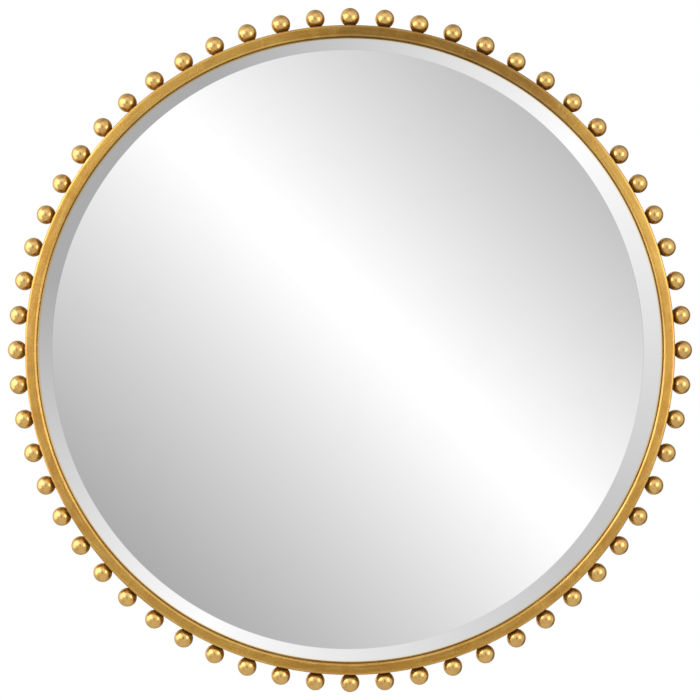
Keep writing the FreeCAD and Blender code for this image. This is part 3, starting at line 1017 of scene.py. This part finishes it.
def silvered_glass():
    """Clean silver, with a painted reflection of the gold at its rim and a pale green edge."""
    material, tree, shader, place = new_material("silvered_glass")
    radius = place_group(tree, polar, place)["Radius"]
    edge = fade(tree, radius, glass_radius - GLASS_ARRIS, glass_radius - GLASS_ARRIS / 2)
    wiped_and_lit = fade(tree, noise(tree, place, WIPE_SIZE, 4.0, 0.6, 1.5), 0.45, 0.7)
    # Painted reflection: the silver turns warm near its rim, as if the gold beside it showed in the glass.
    gold_reflection = fade(tree, radius, glass_radius - GOLD_REFLECTION_REACH, glass_radius - GOLD_REFLECTION_REACH / 4, 0.0, GOLD_REFLECTION_STRENGTH)
    tone = blend(tree, wiped_and_lit, SILVER, SILVER_WIPED)
    tone = blend(tree, gold_reflection, tone, PAINTED_GOLD_REFLECTION)
    tree.links.new(blend(tree, edge, tone, GROUND_EDGE), shader.inputs["Base Color"])
    tree.links.new(calc(tree, "MULTIPLY", edge, EDGE_ROUGHNESS), shader.inputs["Roughness"])
    shader.inputs["Metallic"].default_value = 1.0
    return material


paint(silvered_glass(), glass)

# %% [markdown]
# ## The back
#
# Behind the glass are a painted board, the tabs that hold it, screws and two hangers.
# The board's own solid has the right shape, so it stays, and so does the tape's. All share one
# kind of finish, whose tone and gloss drift slowly over a fine grain. The grain is deeper in
# paint and foam than in plating.

# %% Finishes of the back
def mottled(name, dark, light, blotch, gloss, grain, depth, metallic):
    """A plain finish whose tone and gloss drift, with a fine grain in its surface."""
    material, tree, shader, place = new_material(name)
    drift = noise(tree, place, blotch, 4.0, 0.6, 0.4)
    tree.links.new(blend(tree, fade(tree, drift, 0.3, 0.7), dark, light), shader.inputs["Base Color"])
    tree.links.new(fade(tree, drift, 0.3, 0.7, *gloss), shader.inputs["Roughness"])
    shader.inputs["Metallic"].default_value = metallic
    bump(tree, shader, noise(tree, place, grain, 3.0, 0.6), depth)
    return material


board_paint = mottled("board_paint", (0.034, 0.032, 0.031, 1), (0.043, 0.041, 0.039, 1), blotch=0.15,
                      gloss=(0.68, 0.55), grain=0.0009, depth=0.0003, metallic=0.0)
tab_paint = mottled("tab_paint", (0.30, 0.17, 0.04, 1), (0.46, 0.29, 0.085, 1), blotch=0.012,
                    gloss=(0.6, 0.42), grain=0.0012, depth=0.0003, metallic=0.9)
screw_zinc = mottled("screw_zinc", (0.30, 0.30, 0.29, 1), (0.44, 0.44, 0.42, 1), blotch=0.003,
                     gloss=(0.55, 0.42), grain=0.0006, depth=0.00004, metallic=1.0)
hanger_nickel = mottled("hanger_nickel", (0.52, 0.50, 0.46, 1), (0.68, 0.66, 0.61, 1), blotch=0.006,
                        gloss=(0.36, 0.22), grain=0.0008, depth=0.00005, metallic=1.0)
foam_tape = mottled("foam_tape", (0.74, 0.73, 0.70, 1), (0.86, 0.85, 0.82, 1), blotch=0.02,
                    gloss=(0.95, 0.8), grain=0.0015, depth=0.0005, metallic=0.0)
paint(board_paint, nodes["backing_board"])
paint(tab_paint, *tabs)
paint(screw_zinc, tab_screws, strap_screws)
paint(hanger_nickel, *hangers)
paint(foam_tape, nodes["mounting_tape"])

# %% [markdown]
# ## The camera
#
# The mirror is seen square on and fills the square picture, from far enough away that its ring
# shows only a hair of its inner wall. The lens follows from the distance and from the width
# that the picture takes in at the balls.

# %% Set up the camera
CAMERA_DISTANCE = 3.2
PICTURE_WIDTH = 0.9355
SENSOR = 36.0

scene = bpy.context.scene


def aim(thing, target):
    """Turns a lamp or the camera to look at a point."""
    direction = Vector(target) - thing.location
    thing.rotation_euler = direction.to_track_quat("-Z", "Y").to_euler()


camera = bpy.data.objects.new("camera", bpy.data.cameras.new("camera"))
scene.collection.objects.link(camera)
camera.location = (0, ring_front - CAMERA_DISTANCE, 0)
aim(camera, (0, 0, 0))
camera.data.sensor_width = SENSOR
camera.data.lens = SENSOR * (ball_plane - camera.location.y) / PICTURE_WIDTH
scene.camera = camera
print("lens", round(camera.data.lens, 1))

# %% [markdown]
# ## The studio
#
# What a mirror shows is the room in front of it. Here that room is a soft sweep of light:
# brightest on a diagonal through the camera, and falling off evenly to both sides. The bevel
# looks further out, where two bright panels stand at the upper right and the lower left, and a
# weaker one at the lower right. The room is painted on the world, by the direction of a ray.

# %% The mirror's room
SWEEP_PEAK = 1.02
SWEEP_SHIFT = 0.0145
SWEEP_ROUND = 0.008
SWEEP_FALL = 2.62
PANEL_BASE = 0.675
PANEL_LIFT = 0.335
PANEL_SPREAD = 75
PANEL_DEGREES = (48, 208)
SIDE_LIFT = 0.11
SIDE_DEGREES = 128
BEVEL_VIEW = (0.15, 0.30)
FAR_VIEW = (0.6, 1.1)
FAR_TONE = 0.85
BEHIND_FADE = (-0.3, 0.1)
SCREEN_POWER = 2.2
LEAST_AHEAD = 0.001
LEAST_OFF_AXIS = 0.0001
LARGEST_COSINE = 0.99999


def directions(tree):
    """Which way a ray goes: its three parts, and how far right and high it gets per metre ahead."""
    parts = tree.nodes.new("ShaderNodeSeparateXYZ")
    tree.links.new(tree.nodes.new("ShaderNodeTexCoord").outputs["Generated"], parts.inputs[0])
    across, into, up = parts.outputs
    ahead = calc(tree, "MAXIMUM", calc(tree, "MULTIPLY", into, -1.0), LEAST_AHEAD)
    right = calc(tree, "DIVIDE", across, ahead)
    high = calc(tree, "DIVIDE", up, ahead)
    return {"across": across, "into": into, "up": up, "right": right, "high": high}


def panel(tree, ray, off_axis, degrees):
    """How near a ray is to a panel at a clock angle, from 0 to 1."""
    angle = math.radians(degrees)
    sideways = calc(tree, "MULTIPLY", ray["right"], math.sin(angle))
    toward = calc(tree, "ADD", sideways, calc(tree, "MULTIPLY", ray["high"], math.cos(angle)))
    cosine = calc(tree, "MINIMUM", calc(tree, "DIVIDE", toward, off_axis), LARGEST_COSINE)
    apart = calc(tree, "DIVIDE", calc(tree, "ARCCOSINE", cosine), math.radians(PANEL_SPREAD))
    return calc(tree, "MAXIMUM", calc(tree, "SUBTRACT", 1.0, apart), 0.0)


def mirror_room(tree, ray):
    """A sweep of light ahead, panels round it, and plain light further out and behind."""
    off_axis = calc(tree, "MAXIMUM", hypotenuse(tree, ray["right"], ray["high"]), LEAST_OFF_AXIS)
    diagonal = calc(tree, "MULTIPLY", calc(tree, "ADD", ray["right"], ray["high"]), math.sqrt(0.5))
    from_peak = hypotenuse(tree, calc(tree, "SUBTRACT", diagonal, SWEEP_SHIFT), SWEEP_ROUND)
    fall = calc(tree, "MULTIPLY", calc(tree, "SUBTRACT", from_peak, SWEEP_ROUND), SWEEP_FALL)
    sweep = calc(tree, "SUBTRACT", SWEEP_PEAK, fall)
    panels = calc(tree, "MAXIMUM", *[panel(tree, ray, off_axis, degrees) for degrees in PANEL_DEGREES])
    around = calc(tree, "ADD", PANEL_BASE, calc(tree, "MULTIPLY", panels, PANEL_LIFT))
    side = calc(tree, "MULTIPLY", panel(tree, ray, off_axis, SIDE_DEGREES), SIDE_LIFT)
    around = calc(tree, "ADD", around, side)
    tone = between(tree, fade(tree, off_axis, *BEVEL_VIEW), sweep, around)
    tone = between(tree, fade(tree, off_axis, *FAR_VIEW), tone, FAR_TONE)
    tone = between(tree, fade(tree, ray["into"], *BEHIND_FADE), tone, 1.0)
    return calc(tree, "POWER", tone, SCREEN_POWER)


print("panels at", PANEL_DEGREES, "and", SIDE_DEGREES, "degrees")

# %% [markdown]
# Gold looks best with something dark to reflect too, so its room is another one: two walls of
# light with a dark hole round the camera between them. Further round, it is bright at the sides
# and dim above and below, darkest below. Behind the mirror it is dim, but lighter at the left.

# %% The gold's room
HOLE_TONE = 0.12
HOLE_SIDE = (0.03, 0.20)
HOLE_TOP = (0.24, 0.42)
HOLE_RISE = 0.05
WALL_TONE = 1.03
WALL_TOP = 0.35
WALL_SIDE = 0.75
WALL_FADE = (0.35, 0.8)
ROOM_TONE = 0.22
ROOM_TOP = 0.20
ROOM_SIDE = 0.82
ROOM_FADE = (-0.6, -0.25)
BACK_TONE = 0.28
BACK_TOP = 0.18
BACK_LEFT = 0.90
BACK_FADE = (0.05, 0.45)


def gold_room(tree, ray):
    """Walls of light beside a dark hole, a room that is brightest at its sides, and a dim back."""
    aside = calc(tree, "ABSOLUTE", ray["right"])
    off_level = calc(tree, "ABSOLUTE", calc(tree, "SUBTRACT", ray["high"], HOLE_RISE))
    hole = fade(tree, aside, *HOLE_SIDE, 1.0, 0.0)
    hole = calc(tree, "MULTIPLY", hole, fade(tree, off_level, *HOLE_TOP, 1.0, 0.0))
    walls = calc(tree, "ADD", WALL_TONE, calc(tree, "MULTIPLY", ray["up"], WALL_TOP))
    walls = calc(tree, "MULTIPLY", walls, fade(tree, aside, *WALL_FADE, 1.0, WALL_SIDE))
    walls = between(tree, hole, walls, HOLE_TONE)

    sides = calc(tree, "MULTIPLY", calc(tree, "ABSOLUTE", ray["across"]), ROOM_SIDE)
    room = calc(tree, "ADD", ROOM_TONE, calc(tree, "MULTIPLY", ray["up"], ROOM_TOP))
    room = calc(tree, "ADD", room, sides)

    left = calc(tree, "MULTIPLY", calc(tree, "MINIMUM", ray["across"], 0.0), -BACK_LEFT)
    back = calc(tree, "ADD", BACK_TONE, calc(tree, "MULTIPLY", ray["up"], BACK_TOP))
    back = calc(tree, "ADD", back, left)

    tone = between(tree, fade(tree, ray["into"], *ROOM_FADE), walls, room)
    return between(tree, fade(tree, ray["into"], *BACK_FADE), tone, back)


print("the hole is", HOLE_TONE, "and the walls are", WALL_TONE)

# %% [markdown]
# The Light Path node tells the rooms apart: a perfectly smooth first bounce belongs to the
# mirror, and other glossy rays see the gold's room, warm where it is dark. Camera rays see plain
# white, so the background is white without more light on the object.

# %% Paint the studio
AMBIENT = 0.7
FIRST_BOUNCE = 2.5
WHITE = (1, 1, 1, 1)
DARK_TINT = (1, 0.72, 0.42, 1)
DARK_LEVELS = (0.10, 0.50)


def paint_studio():
    """The world: white to the camera, one room to the mirror, another to the gold."""
    world = bpy.data.worlds.new("studio")
    scene.world = world
    world.use_nodes = True
    tree = world.node_tree
    ray = directions(tree)
    on_gold = gold_room(tree, ray)
    path = tree.nodes.new("ShaderNodeLightPath").outputs
    first_bounce = calc(tree, "LESS_THAN", path["Ray Depth"], FIRST_BOUNCE)
    mirrored = calc(tree, "MULTIPLY", path["Is Singular Ray"], first_bounce)
    strength = between(tree, path["Is Glossy Ray"], AMBIENT, on_gold)
    strength = between(tree, mirrored, strength, mirror_room(tree, ray))
    clear = calc(tree, "MAXIMUM", path["Is Camera Ray"], path["Is Transmission Ray"])
    warm = calc(tree, "MULTIPLY", path["Is Glossy Ray"], calc(tree, "SUBTRACT", 1.0, mirrored))
    warm = calc(tree, "MULTIPLY", warm, fade(tree, on_gold, *DARK_LEVELS, 1.0, 0.0))
    background = tree.nodes["Background"].inputs
    tree.links.new(between(tree, clear, strength, 1.0), background["Strength"])
    tree.links.new(blend(tree, warm, WHITE, DARK_TINT), background["Color"])
    return tree


print("the studio has", len(paint_studio().nodes), "nodes")

# %% [markdown]
# Two large soft lamps stand in front of the mirror, at left and right, and give every ball its
# two highlights. A small lamp close to the left side stands for a white card, which brightens
# the balls and the outer wall there. Each has an angle from straight ahead, a rise, a distance,
# a power in watts, and a width and height.

# %% Hang the lamps
LAMPS = {
    "key": (-50, 18, 2.6, 20.0, (1.4, 1.6)),
    "fill": (46, 6, 2.6, 15.0, (1.2, 1.6)),
    "card": (-80, 6, 1.1, 3.8, (0.7, 1.4)),
}

for name, (degrees, rise, distance, watts, size) in LAMPS.items():
    lamp = bpy.data.objects.new(name, bpy.data.lights.new(name, "AREA"))
    scene.collection.objects.link(lamp)
    lamp.data.shape = "RECTANGLE"
    lamp.data.size, lamp.data.size_y = size
    lamp.data.energy = watts
    turn, lift = math.radians(degrees), math.radians(rise)
    level = distance * math.cos(lift)
    lamp.location = (level * math.sin(turn), -level * math.cos(turn), distance * math.sin(lift))
    aim(lamp, (0, ring_front, 0))
print("lamps", list(LAMPS))

# %% [markdown]
# The mirror hangs on a wall, so the floor is well below it. It is pale, takes the mirror's
# shadow, and thins out to nothing at its edge, so that no line shows where it ends.

# %% Lay the floor
FLOOR_LEVEL = -1.5
FLOOR_RADIUS = 2.2
FLOOR_SIDES = 96
FLOOR_SOLID = 0.4
FLOOR_TONE = (0.86, 0.86, 0.85, 1)
FLOOR_ROUGHNESS = 0.8


def floor_finish():
    """A pale matt floor that thins out towards its edge."""
    material, tree, shader, place = new_material("floor")
    parts = tree.nodes.new("ShaderNodeSeparateXYZ")
    tree.links.new(place, parts.inputs[0])
    away = hypotenuse(tree, parts.outputs[0], parts.outputs[1])
    thin = fade(tree, away, FLOOR_RADIUS * FLOOR_SOLID, FLOOR_RADIUS, 1.0, 0.0)
    tree.links.new(thin, shader.inputs["Alpha"])
    shader.inputs["Base Color"].default_value = FLOOR_TONE
    shader.inputs["Roughness"].default_value = FLOOR_ROUGHNESS
    return material


floor = begin("floor", bpy.ops.mesh.primitive_circle_add, vertices=FLOOR_SIDES, radius=FLOOR_RADIUS,
              fill_type="NGON", location=(0, 0, FLOOR_LEVEL))
close(floor, smooth_degrees=30)
paint(floor_finish(), floor)

# %% [markdown]
# ## Last settings
#
# The picture uses plain colour management, and the size of the solids is printed.

# %% Finish
scene.view_settings.view_transform = "Standard"
print("solids", [round(v * 1000, 2) for v in cad_high - cad_low])
